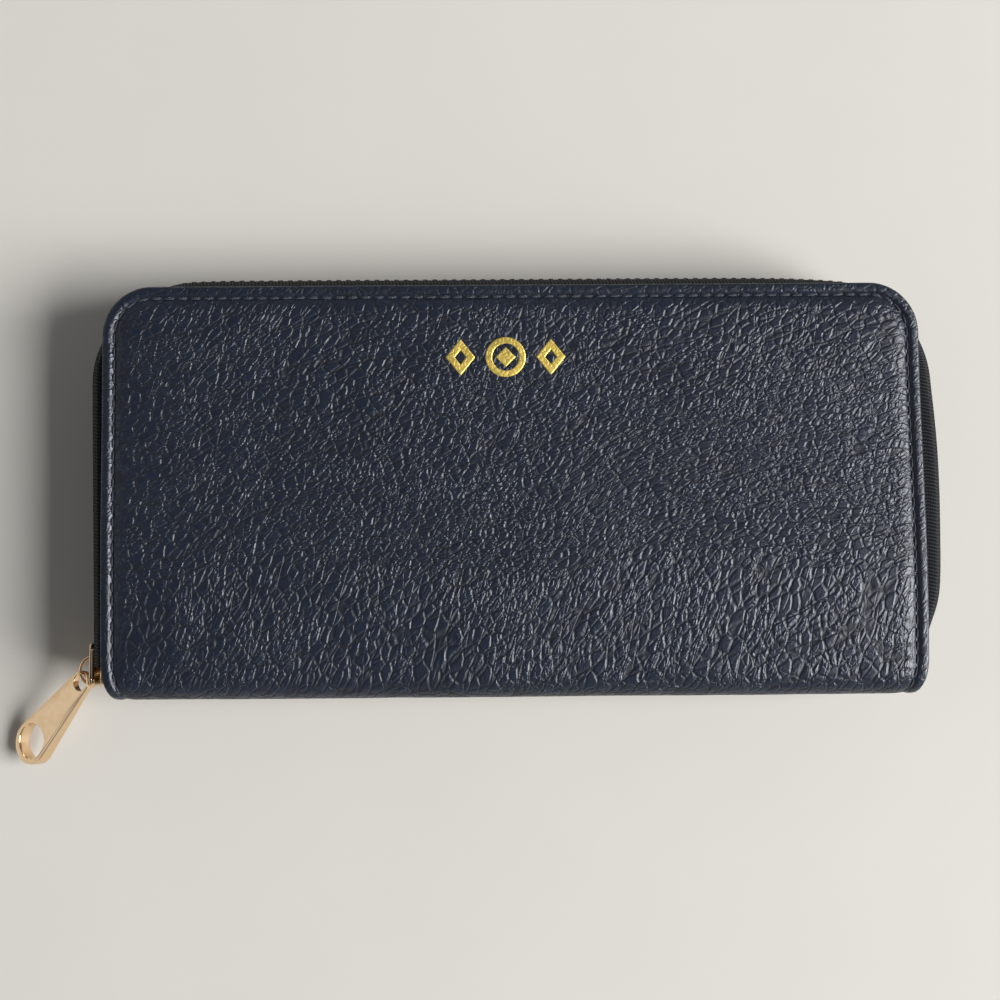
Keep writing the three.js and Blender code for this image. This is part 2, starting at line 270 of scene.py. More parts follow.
class Shade:
    """A socket's value; Python's operators on it add Math nodes."""

    def __init__(self, finish, socket):
        self.finish = finish
        self.socket = socket

    def math(self, operation, *others):
        return self.finish.node("ShaderNodeMath", {"operation": operation}, [self, *others])

    def __add__(self, other):
        return self.math("ADD", other)

    def __sub__(self, other):
        return self.math("SUBTRACT", other)

    def __rsub__(self, other):
        return self.finish.node("ShaderNodeMath", {"operation": "SUBTRACT"}, [other, self])

    def __mul__(self, other):
        return self.math("MULTIPLY", other)

    __radd__ = __add__
    __rmul__ = __mul__

    def step(self, low, high, start=0.0, end=1.0):
        """Smooth rise from start at low to end at high."""
        settings = {"interpolation_type": "SMOOTHSTEP"}
        return self.finish.node("ShaderNodeMapRange", settings, [self, low, high, start, end])


class Finish:
    """A material with one Principled shader; node() adds any other node."""

    def __init__(self, name, **constants):
        self.material = bpy.data.materials.new(name)
        self.material.use_nodes = True
        self.tree = self.material.node_tree
        self.shader = self.tree.nodes["Principled BSDF"]
        for key, value in constants.items():
            socket = key.replace("_", " ").title().replace("Ior", "IOR")
            self.shader.inputs[socket].default_value = value

    def feed(self, socket, value):
        if isinstance(value, Shade):
            self.tree.links.new(value.socket, socket)
        else:
            socket.default_value = value

    def node(self, kind, settings, values=(), output=0):
        made = self.tree.nodes.new(kind)
        for key, value in settings.items():
            setattr(made, key, value)
        pairs = values.items() if isinstance(values, dict) else enumerate(values)
        for key, value in pairs:
            self.feed(made.inputs[key], value)
        return Shade(self, made.outputs[output])

    def out(self, colour, **others):
        """Feeds the shader's sockets and gives the material."""
        self.feed(self.shader.inputs["Base Color"], colour)
        for key, value in others.items():
            self.feed(self.shader.inputs[key.title()], value)
        return self.material

    def place(self):
        return self.node("ShaderNodeTexCoord", {}, output="Object")

    def axes(self, vector):
        """The three parts of a vector or a colour."""
        parts = self.node("ShaderNodeSeparateXYZ", {}, [vector]).socket.node.outputs
        return [Shade(self, part) for part in parts]

    def surface_place(self):
        """The two parts of the piece's own UV map, in metres."""
        return self.axes(self.node("ShaderNodeUVMap", {"uv_map": "UVMap"}))[:2]

    def shifted(self, vector, offset, amount):
        """vector plus amount times a noise colour centred on zero."""
        centred = self.node("ShaderNodeVectorMath", {"operation": "SUBTRACT"}, [offset, (0.5, 0.5, 0.5)])
        scaled = self.node("ShaderNodeVectorMath", {"operation": "SCALE"}, {0: centred, "Scale": amount})
        return self.node("ShaderNodeVectorMath", {"operation": "ADD"}, [vector, scaled])

    def turned(self, vector, degrees, stretch):
        """Coordinates turned about Z and then drawn out, so that a texture runs along the slant."""
        values = {"Vector": vector, "Rotation": (0, 0, math.radians(degrees)), "Scale": stretch}
        return self.node("ShaderNodeMapping", {"vector_type": "TEXTURE"}, values)

    def noise(self, vector, scale, detail=2.0, roughness=0.5, output=0):
        values = {"Vector": vector, "Scale": scale, "Detail": detail, "Roughness": roughness}
        return self.node("ShaderNodeTexNoise", {}, values, output)

    def cells(self, vector, scale, feature, output="Distance"):
        values = {"Vector": vector, "Scale": scale}
        return self.node("ShaderNodeTexVoronoi", {"feature": feature}, values, output)

    def mix(self, share, low, high):
        """Colour between low and high."""
        settings = {"data_type": "RGBA"}
        low, high = [v if isinstance(v, Shade) else (*v, 1) for v in (low, high)]
        return self.node("ShaderNodeMix", settings, {0: share, 6: low, 7: high}, 2)

    def bump(self, height, distance):
        return self.node("ShaderNodeBump", {}, {"Height": height, "Distance": distance})


def pebbled_leather(name, ridge, valley_shade, cell, depth):
    """Drum-dyed leather: small rounded pebbles with narrow valleys, crossed by long slanting creases.

    The pebbles are Voronoi cells of a warped, slanted space, raised by their distance to the edge,
    each to its own height. The creases are the level lines of noise drawn out along a slant.
    Towards the spine the cells are drawn out along Y.
    """
    made = Finish(name, specular_ior_level=0.6)
    place = made.place()
    bent = made.shifted(place, made.noise(place, 14, 1.0, 0.5, "Color"), 0.02)
    across, along, height = made.axes(bent)
    spine_start = -0.02
    drawn = along.math("MAXIMUM", spine_start) + (along - spine_start).math("MINIMUM", 0.0) * 0.6
    space = made.node("ShaderNodeCombineXYZ", {}, [across, drawn, height])
    slanted = made.turned(space, 24, (1.35, 0.85, 1.0))
    warped = made.shifted(slanted, made.noise(slanted, 420, 1.0, 0.5, "Color"), 0.0009)
    scale = 1 / cell
    edge = made.cells(warped, scale, "DISTANCE_TO_EDGE")
    tint = made.axes(made.cells(warped, scale, "F1", "Color"))[0]
    pebble = edge.step(0.0, 0.19) * (tint * 0.4 + 0.6)
    small = made.cells(warped, scale * 1.9, "DISTANCE_TO_EDGE").step(0.0, 0.18)
    patch = made.noise(slanted, 150, 2.0).step(0.36, 0.62)
    fold = (made.noise(made.turned(space, 19, (5.0, 1.0, 1.0)), 240, 1.5) - 0.5).math("ABSOLUTE")
    cross = (made.noise(made.turned(space, 66, (3.5, 1.0, 1.0)), 260, 1.5) - 0.5).math("ABSOLUTE")
    pores = made.noise(place, 2900, 3.0, 0.65)
    grain = (
        pebble * 0.6
        + small * 0.2 * patch
        + fold.step(0.0, 0.034) * 0.36
        + cross.step(0.0, 0.03) * 0.18
        + pores * 0.13
    )
    inset = made.surface_place()[0]
    relief = grain * inset.step(0.0022, 0.0075, 0.45, 1.0)
    worn = made.noise(place, 30, 3.0, 0.6)
    # Colour mask: the grain's valleys and creases take the darker colour as painted shade; the slow
    # noise adds random tone.
    painted_shade_and_tone = (grain * 0.8 + worn * 0.4).step(0.5, 1.35)
    return made.out(
        colour=made.mix(painted_shade_and_tone, valley_shade, ridge),
        roughness=grain.step(0.3, 1.3, 0.52, 0.33),
        normal=made.bump(relief, depth),
    )


def smooth_leather(name, colour, dark):
    """Fine calf leather for the inside: close small grain and a soft shine."""
    made = Finish(name, roughness=0.5, specular_ior_level=0.5)
    place = made.place()
    warped = made.shifted(place, made.noise(place, 700, 2.0, 0.5, "Color"), 0.0007)
    grain = made.cells(warped, 1500, "DISTANCE_TO_EDGE").step(0.0, 0.22)
    tone = made.noise(place, 60, 4.0, 0.6)
    relief = grain * 0.8 + made.noise(place, 6000, 2.0) * 0.2
    return made.out(
        colour=made.mix((grain * 0.5 + tone * 0.6).step(0.2, 1.0), dark, colour),
        roughness=relief.step(0.0, 1.0, 0.62, 0.48),
        normal=made.bump(relief, 0.00012),
    )


def twill(name, colour, dark, pitch):
    """Twill lining: slanting ribs crossed by fine threads."""
    made = Finish(name, roughness=0.85, sheen_weight=0.3, sheen_roughness=0.5)
    place = made.place()
    x, y, z = made.axes(place)
    turn = 2 * math.pi / pitch
    rib = ((x + y + z) * turn).math("SINE") * 0.5 + 0.5
    thread = ((x - y + z) * (turn * 2.1)).math("SINE") * 0.5 + 0.5
    fuzz = made.noise(place, 4000, 3.0, 0.7)
    relief = rib * 0.6 + thread * 0.3 * rib + fuzz * 0.25
    return made.out(
        colour=made.mix(relief.step(0.1, 1.1), dark, colour),
        roughness=fuzz.step(0.2, 0.8, 0.8, 0.95),
        normal=made.bump(relief, 0.00016),
    )


def herringbone(name, colour, dark):
    """Zip tape: bands of slanting ribs that turn back on each other, from the tape's own UV map.

    U runs along the tape and V across it, both in metres.
    """
    made = Finish(name, specular_ior_level=0.2)
    u, v = made.surface_place()
    band = (v * (1 / 0.0032)).math("PINGPONG", 1.0)
    rib = ((u * (2 * math.pi / 0.0008)) + band * 5.5).math("SINE") * 0.5 + 0.5
    cross = (v * (2 * math.pi / 0.0004)).math("SINE") * 0.5 + 0.5
    fuzz = made.noise(made.place(), 3500, 3.0, 0.7)
    relief = rib * 0.7 + cross * 0.2 + fuzz * 0.2
    return made.out(
        colour=made.mix(relief.step(0.1, 1.0), dark, colour),
        roughness=relief.step(0.0, 1.0, 0.85, 0.6),
        normal=made.bump(relief, 0.00022),
    )


def moulded(name, colour):
    """Moulded acetal of the teeth: dark, slightly mottled, soft gloss."""
    made = Finish(name, specular_ior_level=0.35)
    mottle = made.noise(made.place(), 900, 3.0, 0.6)
    return made.out(
        colour=made.mix(mottle, [c * 0.6 for c in colour], [c * 1.4 for c in colour]),
        roughness=mottle.step(0.2, 0.8, 0.26, 0.44),
        normal=made.bump(mottle, 0.00002),
    )


def thread(name, colour, dark):
    """Bonded thread: twisted plies seen as fine slanting ridges."""
    made = Finish(name, roughness=0.5, sheen_weight=0.4, sheen_roughness=0.4)
    place = made.place()
    x, y, z = made.axes(place)
    ply = ((x + y * 0.9 + z * 0.5) * (2 * math.pi / 0.00032)).math("SINE") * 0.5 + 0.5
    return made.out(
        colour=made.mix(ply, dark, colour),
        roughness=ply.step(0.0, 1.0, 0.62, 0.42),
        normal=made.bump(ply, 0.00005),
    )


def plated_gold(name, colour, deep, roughness):
    """Light gold plate: polished, with faint hand wear and a deeper tone where it is rubbed."""
    made = Finish(name, metallic=1.0, roughness=roughness)
    place = made.place()
    wear = made.noise(place, 260, 4.0, 0.6)
    scratch_space = made.node(
        "ShaderNodeMapping", {"vector_type": "POINT"}, {"Vector": place, "Scale": (1.0, 9.0, 1.0)}
    )
    scratch = made.noise(scratch_space, 1400, 2.0, 0.7)
    return made.out(
        colour=made.mix(wear.step(0.3, 0.7), deep, colour),
        roughness=(wear * 0.12 + scratch * 0.08) + (roughness - 0.08),
        normal=made.bump(scratch * 0.4 + wear * 0.3, 0.000012),
    )


def foil(name, colour, deep):
    """Hot-stamped foil: bright yellow gold that takes up the leather's grain."""
    made = Finish(name, metallic=0.9)
    place = made.place()
    grain = made.cells(place, 900, "DISTANCE_TO_EDGE").step(0.0, 0.25)
    patch = made.noise(place, 500, 3.0, 0.6)
    return made.out(
        colour=made.mix(grain * 0.5 + patch * 0.5, deep, colour),
        roughness=patch.step(0.2, 0.8, 0.4, 0.55),
        normal=made.bump(grain + patch * 0.4, 0.00003),
    )


def paperboard(name, colour, dark):
    """Grey-brown board: short fibres and flecks."""
    made = Finish(name, roughness=0.9)
    place = made.place()
    fibre = made.noise(place, 900, 5.0, 0.75)
    fleck = made.cells(place, 700, "F1").step(0.1, 0.5)
    return made.out(
        colour=made.mix(fibre * 0.7 + fleck * 0.3, dark, colour),
        roughness=fibre.step(0.2, 0.8, 0.82, 0.95),
        normal=made.bump(fibre, 0.00008),
    )


# The second navy is darker: it is painted shade in the pebbled leather's valleys and creases.
NAVY_RIDGE = (0.0105, 0.0155, 0.03)
NAVY_VALLEY_SHADE = (0.002, 0.0038, 0.0105)
FINISH = {
    "pebbled_leather": pebbled_leather("pebbled_leather", NAVY_RIDGE, NAVY_VALLEY_SHADE, 0.00195, 0.00029),
    "smooth_leather": smooth_leather("smooth_leather", (0.024, 0.032, 0.054), (0.009, 0.013, 0.023)),
    "twill_lining": twill("twill_lining", (0.085, 0.095, 0.125), (0.02, 0.023, 0.034), 0.0007),
    "paperboard": paperboard("paperboard", (0.13, 0.105, 0.08), (0.08, 0.062, 0.046)),
    "zip_tape": herringbone("zip_tape", (0.016, 0.017, 0.019), (0.0012, 0.0012, 0.0016)),
    "zip_teeth": moulded("zip_teeth", (0.006, 0.006, 0.007)),
    "gold_metal": plated_gold("gold_metal", (0.9, 0.66, 0.42), (0.84, 0.59, 0.35), 0.13),
    "thread": thread("thread", (0.022, 0.029, 0.047), (0.006, 0.008, 0.014)),
    "foil": foil("foil", (1.0, 0.78, 0.22), (0.9, 0.62, 0.12)),
}


# ---------------------------------------------------------------- outer leather

CLOSED_Y = SPINE_Y + FOLD_RADIUS
COVER_RUN = EDGE_Y - CLOSED_Y
FOLD_RUN = FOLD_RADIUS * math.pi / 2
SPINE_RUN = THICKNESS / 2 - FOLD_RADIUS
SKIN_RUN = COVER_RUN + FOLD_RUN + SPINE_RUN
SPINE_BULGE, BULGE_SKEW, BULGE_RUN = 1.4, 0.25, 13
SPINE_DRAW = 3.4
BLEND_START, BLEND_END = THICKNESS - 3.2, THICKNESS - FOLD_RADIUS - 2.2
RIM_STATIONS = [0, 0.07, 0.18, 0.32, 0.5, 0.75, 1.1, 1.5, 1.85, 2.1]
RIM_STATIONS += [2.3, 2.5, 2.7, 2.9, 3.1, 3.35, 3.7, 4.2, 5.0]


def skin(x, t, rise):
    """Point over one half's outer line: t runs from the free edge over the fold to mid-spine.

    The line is flat for COVER_RUN, then a quarter circle of FOLD_RADIUS, then straight down the
    spine, which bulges a little; rise is the height over it, along its normal.
    """
    turn = np.clip((t - COVER_RUN) / FOLD_RADIUS, 0, math.pi / 2)
    down = np.clip(t - COVER_RUN - FOLD_RUN, 0, None)
    flat = np.clip(t, None, COVER_RUN)
    reach = FOLD_RADIUS + rise
    bulge = SPINE_BULGE - BULGE_SKEW * x / HALF_LENGTH
    bulge = bulge * ease((t - COVER_RUN + BULGE_RUN) / (BULGE_RUN + FOLD_RUN))
    y = np.where(t <= COVER_RUN, EDGE_Y - flat, CLOSED_Y - reach * np.sin(turn)) - bulge
    z = np.where(t <= COVER_RUN, THICKNESS + rise, THICKNESS - FOLD_RADIUS + reach * np.cos(turn) - down)
    return np.stack(np.broadcast_arrays(x, y, z), -1)


def skin_edges(t, slant):
    """Left and right limits in X at t, without the free corners: drawn in towards the spine."""
    drawn = SPINE_DRAW * ease((t - COVER_RUN + 3) / 15)
    spread = ease(t / (0.9 * COVER_RUN))
    right = HALF_LENGTH - slant * (1 - spread) - drawn
    return -HALF_LENGTH - slant * (0.2 + 0.45 * spread) + drawn, right


def skin_inset(x, t, slant):
    """Distance to the nearest edge of the leather, round the free corners too."""
    left, right = skin_edges(t, slant)
    side = np.minimum(x - left, right - x)
    corner = CORNER_RADIUS - np.hypot(
        np.clip(CORNER_RADIUS - side, 0, None), np.clip(CORNER_RADIUS - t, 0, None)
    )
    return np.where((side < CORNER_RADIUS) & (t < CORNER_RADIUS), corner, np.minimum(side, t))


def ripple(x, t, seed):
    """Slow unevenness of the hide: a sum of slanting sines, each of its own length."""
    draw = np.random.default_rng(seed)
    total = np.zeros(np.broadcast(x, t).shape)
    for length in (46, 31, 22, 15, 10.5, 7.5):
        angle, phase = draw.uniform(0, math.pi), draw.uniform(0, 2 * math.pi)
        wave = (x * math.cos(angle) + t * math.sin(angle)) * 2 * math.pi / length + phase
        total += np.sin(wave) * length / 46
    return total / 2.2


def skin_rise(x, t, slant, crown, seed):
    """Height of the leather: a rounded rim, a sunken stitch line and a padded panel inside it."""
    inset = skin_inset(x, t, slant)
    groove = -0.5 * np.exp(-(((inset - STITCH_INSET) / 0.5) ** 2))
    rim = 0.12 * np.exp(-(((inset - 1.4) / 0.7) ** 2))
    fade = 1 - 0.75 * ease((t - COVER_RUN + 10) / 14)
    inside = inset - PANEL_INSET
    pad = crown * fade * (0.58 * ease(inside / 2.3) + 0.42 * ease(inside / 17))
    uneven = 0.07 * ripple(x, t, seed) * ease(inside / 4)
    return -quarter_round(inset, EDGE_ROUND) + groove + rim + pad + uneven


def cover_leather(half, slant, crown, seed):
    """Leather of one half: cover, fold and its half of the spine, as one closed shell."""
    rows = np.concatenate(
        [
            RIM_STATIONS,
            np.arange(5.45, 12.2, 0.45),
            np.linspace(12.6, COVER_RUN - 7, 58),
            np.linspace(COVER_RUN - 6.3, SKIN_RUN, 34),
        ]
    )[:, None]
    columns = edge_steps(2 * HALF_LENGTH, RIM_STATIONS, 1.35)[None] / (2 * HALF_LENGTH)
    left, right = skin_edges(rows, slant)
    corner = corner_cut(rows, CORNER_RADIUS)
    x = (left + corner) * (1 - columns) + (right - corner) * columns
    t = np.broadcast_to(rows, x.shape)
    inset = skin_inset(x, t, slant)
    outer = skin(x, t, skin_rise(x, t, slant, crown, seed))
    inner = skin(x, t, quarter_round(inset, EDGE_ROUND) - LEATHER_THICKNESS)
    if half == "back":
        outer, inner = flipped(outer), flipped(inner)
    uv = np.tile(np.stack([inset.ravel(), t.ravel()], 1) * MM, (2, 1))
    nodes = [half + "_cover_leather"] + (["spine_leather"] if half == "front" else [])
    made = piece(half + "_leather", *shell(outer, inner), None, "pebbled_leather", nodes, uv=uv)
    across_fold(made, half, BLEND_START, BLEND_END)


# ---------------------------------------------------------------- stitching

def rim_line(inset, slant):
    """Points (x, t) at one inset from the edge: up the left side, round the top, down the right."""
    t_side = np.linspace(SKIN_RUN - 4.5, CORNER_RADIUS, 260)
    turn = np.linspace(0, math.pi / 2, 60)
    radius = CORNER_RADIUS - inset
    left, right = skin_edges(t_side, slant)
    top_left, top_right = skin_edges(np.array(CORNER_RADIUS), slant)
    x = np.concatenate(
        [
            left + inset,
            top_left + CORNER_RADIUS - radius * np.cos(turn),
            np.linspace(top_left + CORNER_RADIUS, top_right - CORNER_RADIUS, 400),
            top_right - CORNER_RADIUS + radius * np.sin(turn),
            (right - inset)[::-1],
        ]
    )
    t = np.concatenate(
        [
            t_side,
            CORNER_RADIUS - radius * np.sin(turn),
            np.full(400, inset),
            CORNER_RADIUS - radius * np.cos(turn),
            t_side[::-1],
        ]
    )
    return x, t


def line_run(line):
    """Distance along a line of points, at each of them."""
    return np.concatenate([[0], np.cumsum(np.linalg.norm(np.diff(line, axis=0), axis=1))])


def along_line(line, s, values):
    """What values, one row to each of a line's points, come to at s millimetres along it."""
    run = line_run(line)
    return np.stack([np.interp(s, run, column) for column in values.T], -1)


def stitches(line, up, pitch, length, radius):
    """A row of stitches: each is a short tube along the line, its ends dipping into the leather.

    line is the thread's path and up its outward normals; ring k of a stitch stands at the cosine
    spacing of k and is a circle whose radius falls to zero at both ends.
    """
    total = line_run(line)[-1]
    count = int(total / pitch)
    centres = (np.arange(count) + 0.5) * total / count
    rings, sides, look = 7, 6, 0.2
    share = -np.cos(np.linspace(0, math.pi, rings))
    s = (centres[:, None] + share[None] * length / 2).ravel()
    middle = along_line(line, s, line)
    ahead = along_line(line, np.clip(s + look, 0, total), line)
    forward = unit(ahead - along_line(line, np.clip(s - look, 0, total), line))
    upward = unit(along_line(line, s, up))
    sideways = np.cross(forward, upward)
    size = radius * np.sqrt(np.clip(1 - share**2, 0, None)) ** 0.6
    dip = -radius * 0.9 * np.abs(share) ** 3
    size, dip = [np.tile(v, count)[:, None] for v in (size, dip)]
    cosine, sine = circle(sides).T
    ring = (
        (middle + upward * dip)[:, None]
        + sideways[:, None] * (cosine * size)[..., None]
        + upward[:, None] * (sine * size)[..., None]
    )
    return ring.reshape(-1, 3), repeated(ring_quads(rings, sides), rings * sides, count)


def rim_stitching(half, slant):
    """Stitch line round three sides of a cover, in the sunken line inside the rim."""
    x, t = rim_line(STITCH_INSET, slant)
    bed = -0.3
    line = skin(x, t, bed)
    up = skin(x, t, bed + 1.0) - line
    if half == "back":
        line, up = flipped(line), up * np.array([1, 1, -1])
    shape = stitches(line, up, **STITCH)
    made = piece(half + "_rim_stitching", *shape, None, "pebbled_leather", finish="thread")
    across_fold(made, half, BLEND_START, BLEND_END)


# ---------------------------------------------------------------- zip round three sides

ZIP_SIDES = 2 * (ZIP_TOP_Y - ZIP_CORNER) - ZIP_START_Y - ZIP_END_Y
ZIP_RUN = ZIP_SIDES + math.pi * ZIP_CORNER + 2 * (ZIP_X - ZIP_CORNER)
# Depth, middle and width of each place where the zip is tucked in.
ZIP_TUCKS = [(1.2, 87.0, 12.0), (2.9, 279.0, 23.0), (3.4, ZIP_RUN, 8.0)]
TAPE_TAIL, TAIL_CURL = 5.0, 5.5
TAPE_HALF_SHEET = 0.26
TOOTH_DROP = 2.2
# The tape's section: the flange's reach and height, the wall's height, and the edge in the teeth.
FLANGE_REACH, FLANGE_IN, FLANGE_Z, WALL_Z, TAPE_TOP_Z = 7.0, 1.9, 1.9, 6.5, 10.4


def zip_line(s):
    """Place and outward direction at s along the zip: up the left, round, and down the right."""
    corner_y = ZIP_TOP_Y - ZIP_CORNER
    inner_x = ZIP_X - ZIP_CORNER
    side = corner_y - ZIP_START_Y
    arc = ZIP_CORNER * math.pi / 2
    top = 2 * inner_x
    ends = np.cumsum([side, arc, top, arc])
    first = np.clip((s - ends[0]) / ZIP_CORNER, 0, math.pi / 2)
    second = np.clip((s - ends[2]) / ZIP_CORNER, 0, math.pi / 2)
    turn = math.pi - first - second
    x = np.where(s < ends[1], -inner_x, np.where(s < ends[2], s - ends[1] - inner_x, inner_x))
    down = np.where(s < ends[3], corner_y, corner_y + ends[3] - s)
    y = np.where(s < ends[0], ZIP_START_Y + s, down)
    out = np.stack([np.cos(turn), np.sin(turn), np.zeros_like(s)], -1)
    place = np.stack([x, y, np.full_like(s, MID_Z)], -1) + out * ZIP_CORNER
    tuck = sum(depth * np.exp(-(((s - middle) / width) ** 2)) for depth, middle, width in ZIP_TUCKS)
    curl = TAIL_CURL * ease((s - ZIP_RUN + 0.5) / TAPE_TAIL)
    return place - out * (tuck + curl)[:, None], out


def zip_tape(half):
    """Tape of one half: a flat flange under the rim, then a wall that bows out to the teeth.

    The section's middle line is a flange, an S-shaped rise and a straight stretch; the sheet is
    its offset to both sides, closed round its edges.
    """
    rise = np.linspace(0, 1, 15)
    wall_x = FLANGE_IN * (ease(rise) ** 0.8 - 1)
    middle = np.concatenate(
        [
            np.stack([np.linspace(-FLANGE_REACH, -FLANGE_IN, 6)[:-1], np.full(5, FLANGE_Z)], 1),
            np.stack([wall_x, FLANGE_Z + (WALL_Z - FLANGE_Z) * rise**1.25], 1),
            np.stack([np.zeros(9), np.linspace(WALL_Z, TAPE_TOP_Z, 10)[1:]], 1),
        ]
    )
    step = unit(np.gradient(middle, axis=0))
    offset = np.stack([step[:, 1], -step[:, 0]], 1) * TAPE_HALF_SHEET
    section = np.concatenate([middle + offset, (middle - offset)[::-1]])
    s = np.linspace(0, ZIP_RUN + TAPE_TAIL, 330)
    place, out = zip_line(s)
    points, quads = sweep(place * IN_PLAN, out, np.broadcast_to(UP, out.shape), section)
    run = line_run(middle)
    across = np.concatenate([run, run[::-1]])
    u = np.concatenate([s[:1], s, s[-1:]])
    uv = np.stack(np.broadcast_arrays(u[:, None], across[None]), -1).reshape(-1, 2) * MM
    points = on_half(points, half)
    piece(half + "_tape", points, quads, half + "_half", "zip_tape", [half + "_zip_tape"], uv=uv)


def zip_teeth(half):
    """A row of moulded teeth: each grips the tape's edge and ends in a narrower rounded head.

    A tooth is eight-sided rings stacked in height, wide at the tape and slim at the head; the two
    rows stand half a pitch apart, so that each head lies between two of the other row.
    """
    low = MID_Z - TOOTH_DROP
    stack = np.array([0, 0.12, 0.35, 1.35, 1.6, 2.35, 2.6, 2.72])
    along = np.array([0.0, 0.6, 0.78, 0.78, 0.5, 0.5, 0.34, 0.0])
    thick = np.array([0.0, 0.75, 1.0, 1.0, 0.95, 0.9, 0.6, 0.0])
    sides = 8
    edge = circle(sides, math.pi / sides)
    edge = np.sign(edge) * np.abs(edge) ** 0.55
    shift = 0 if half == "back" else TOOTH_PITCH / 2
    s = np.arange(1.2 + shift, ZIP_RUN - 0.8, TOOTH_PITCH)
    place, out = zip_line(s)
    forward = np.cross(out, UP)
    ring = (
        (place * IN_PLAN)[:, None, None]
        + out[:, None, None] * (edge[None, None, :, 0] * thick[None, :, None])[..., None]
        + forward[:, None, None] * (edge[None, None, :, 1] * along[None, :, None])[..., None]
        + UP * (low + stack)[None, :, None, None]
    )
    quads = repeated(ring_quads(len(stack), sides), len(stack) * sides, len(s))
    points = on_half(ring.reshape(-1, 3), half)
    piece(half + "_teeth", points, quads, half + "_half", "zip_teeth", [half + "_zip_teeth"])


# ---------------------------------------------------------------- soft flat pieces

PANEL_ROUND = 0.22
SLOT_SEAM_INSET = 2.4
LINING_CORNER = 15.0
GUSSET_HALF_SHEET = 0.22
# How far the gusset's edge stays inside the half's end, and reaches past its node to the pocket.
GUSSET_EDGE, GUSSET_SEAM = 0.5, 0.4


def no_relief(across, along, inset):
    return 0


def soft_panel(x, y, z, relief=no_relief):
    """A sewn panel: a slab with rounded edges whose upper face may carry a relief.

    relief gives millimetres to add to the upper face from x, y and the distance to the edge.
    """
    fine, step = [0, 0.08, PANEL_ROUND, 0.5, 0.9, 1.4, 2.0, 3.0], 2.2
    columns = x[0] + edge_steps(x[1] - x[0], fine, step)
    rows = y[0] + edge_steps(y[1] - y[0], fine, step)
    across, along = np.meshgrid(columns, rows)
    inset = np.minimum.reduce([across - x[0], x[1] - across, along - y[0], y[1] - along])
    drop = quarter_round(inset, PANEL_ROUND)
    top = z[1] - drop + relief(across, along, inset)
    bottom = z[0] + drop
    return shell(np.stack([across, along, top], -1), np.stack([across, along, bottom], -1))


def node_range(node):
    """A CAD node's low and high corner, as X, Y and Z ranges in millimetres."""
    low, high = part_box(node)
    return [(a / MM, b / MM) for a, b in zip(low, high)]


def slot_relief(x_half, y):
    """Relief of a card slot strip: turned top hem, a crease under it, and a seam at the middle."""

    def relief(across, along, inset):
        from_end = np.abs(across) - x_half + SLOT_SEAM_INSET
        hem = 0.1 * ease((along - y[1] + 2.2) / 0.5)
        crease = -0.1 * np.exp(-(((along - y[1] + 2.3) / 0.22) ** 2))
        seam = -0.16 * np.exp(-((across / 0.9) ** 2)) - 0.14 * np.exp(-((from_end / 0.7) ** 2))
        belly = 0.1 * np.sin(np.clip(np.abs(across) / x_half, 0, 1) * math.pi)
        return (hem + crease + seam + belly) * ease(inset / 0.6)

    return relief


def inner_layers(half):
    """Lining, card panel, card slots and seams of one half."""
    body = half + "_half"

    def upper(node):
        x, y, z = node_range(node)
        if half == "front":
            z = (THICKNESS - z[1], THICKNESS - z[0])
        return x, y, z

    def layer(name, node, slot, shape):
        points, quads = shape
        piece(half + name, on_half(points, half), quads, body, slot, [node])

    node = half + "_lining"
    layer("_lining_cloth", node, "twill_lining", lining_shape(*upper(node)))
    node = half + "_card_panel"
    layer("_card_backing", node, "smooth_leather", soft_panel(*upper(node)))
    for number in range(1, 5):
        node = f"{half}_card_slot_{number}"
        x, y, z = upper(node)
        shape = soft_panel(x, y, z, relief=slot_relief(x[1], y))
        layer(f"_card_pocket_{number}", node, "smooth_leather", shape)
    x, y, z = upper(half + "_card_slot_1")
    last = upper(half + "_card_slot_4")[1][1]
    seams, count = [], 80
    run = np.linspace(y[0] + 1, last - 1, count)
    for place in (SLOT_SEAM_INSET - x[1], 0, x[1] - SLOT_SEAM_INSET):
        line = np.stack([np.full(count, place), run, np.full(count, z[1] - 0.02)], 1)
        seams.append(stitches(line, np.broadcast_to(UP, line.shape), **CARD_STITCH))
    points, quads = joined(seams)
    piece(half + "_card_seams", on_half(points, half), quads, body, "smooth_leather", finish="thread")


def lining_shape(x, y, z):
    """Lining cloth: a thin sheet with rounded free corners, sewn down round its edge."""
    radius, run = LINING_CORNER, y[1] - y[0]
    near = np.linspace(0, radius, 24)[:-1] ** 2 / radius
    rows = np.concatenate([near, np.linspace(radius, run, 40)])[:, None]
    columns = edge_steps(1.0, [0, 0.001, 0.003, 0.008, 0.02], 0.02)[None]
    corner = corner_cut(rows, radius)
    across = (x[0] + corner) * (1 - columns) + (x[1] - corner) * columns
    along = y[1] - np.broadcast_to(rows, across.shape)
    uneven = 0.05 * np.sin(across / 9) * np.sin(along / 7)
    top = np.stack([across, along, z[1] + uneven], -1)
    bottom = np.stack([across, along, np.full_like(across, z[0])], -1)
    return shell(top, bottom)


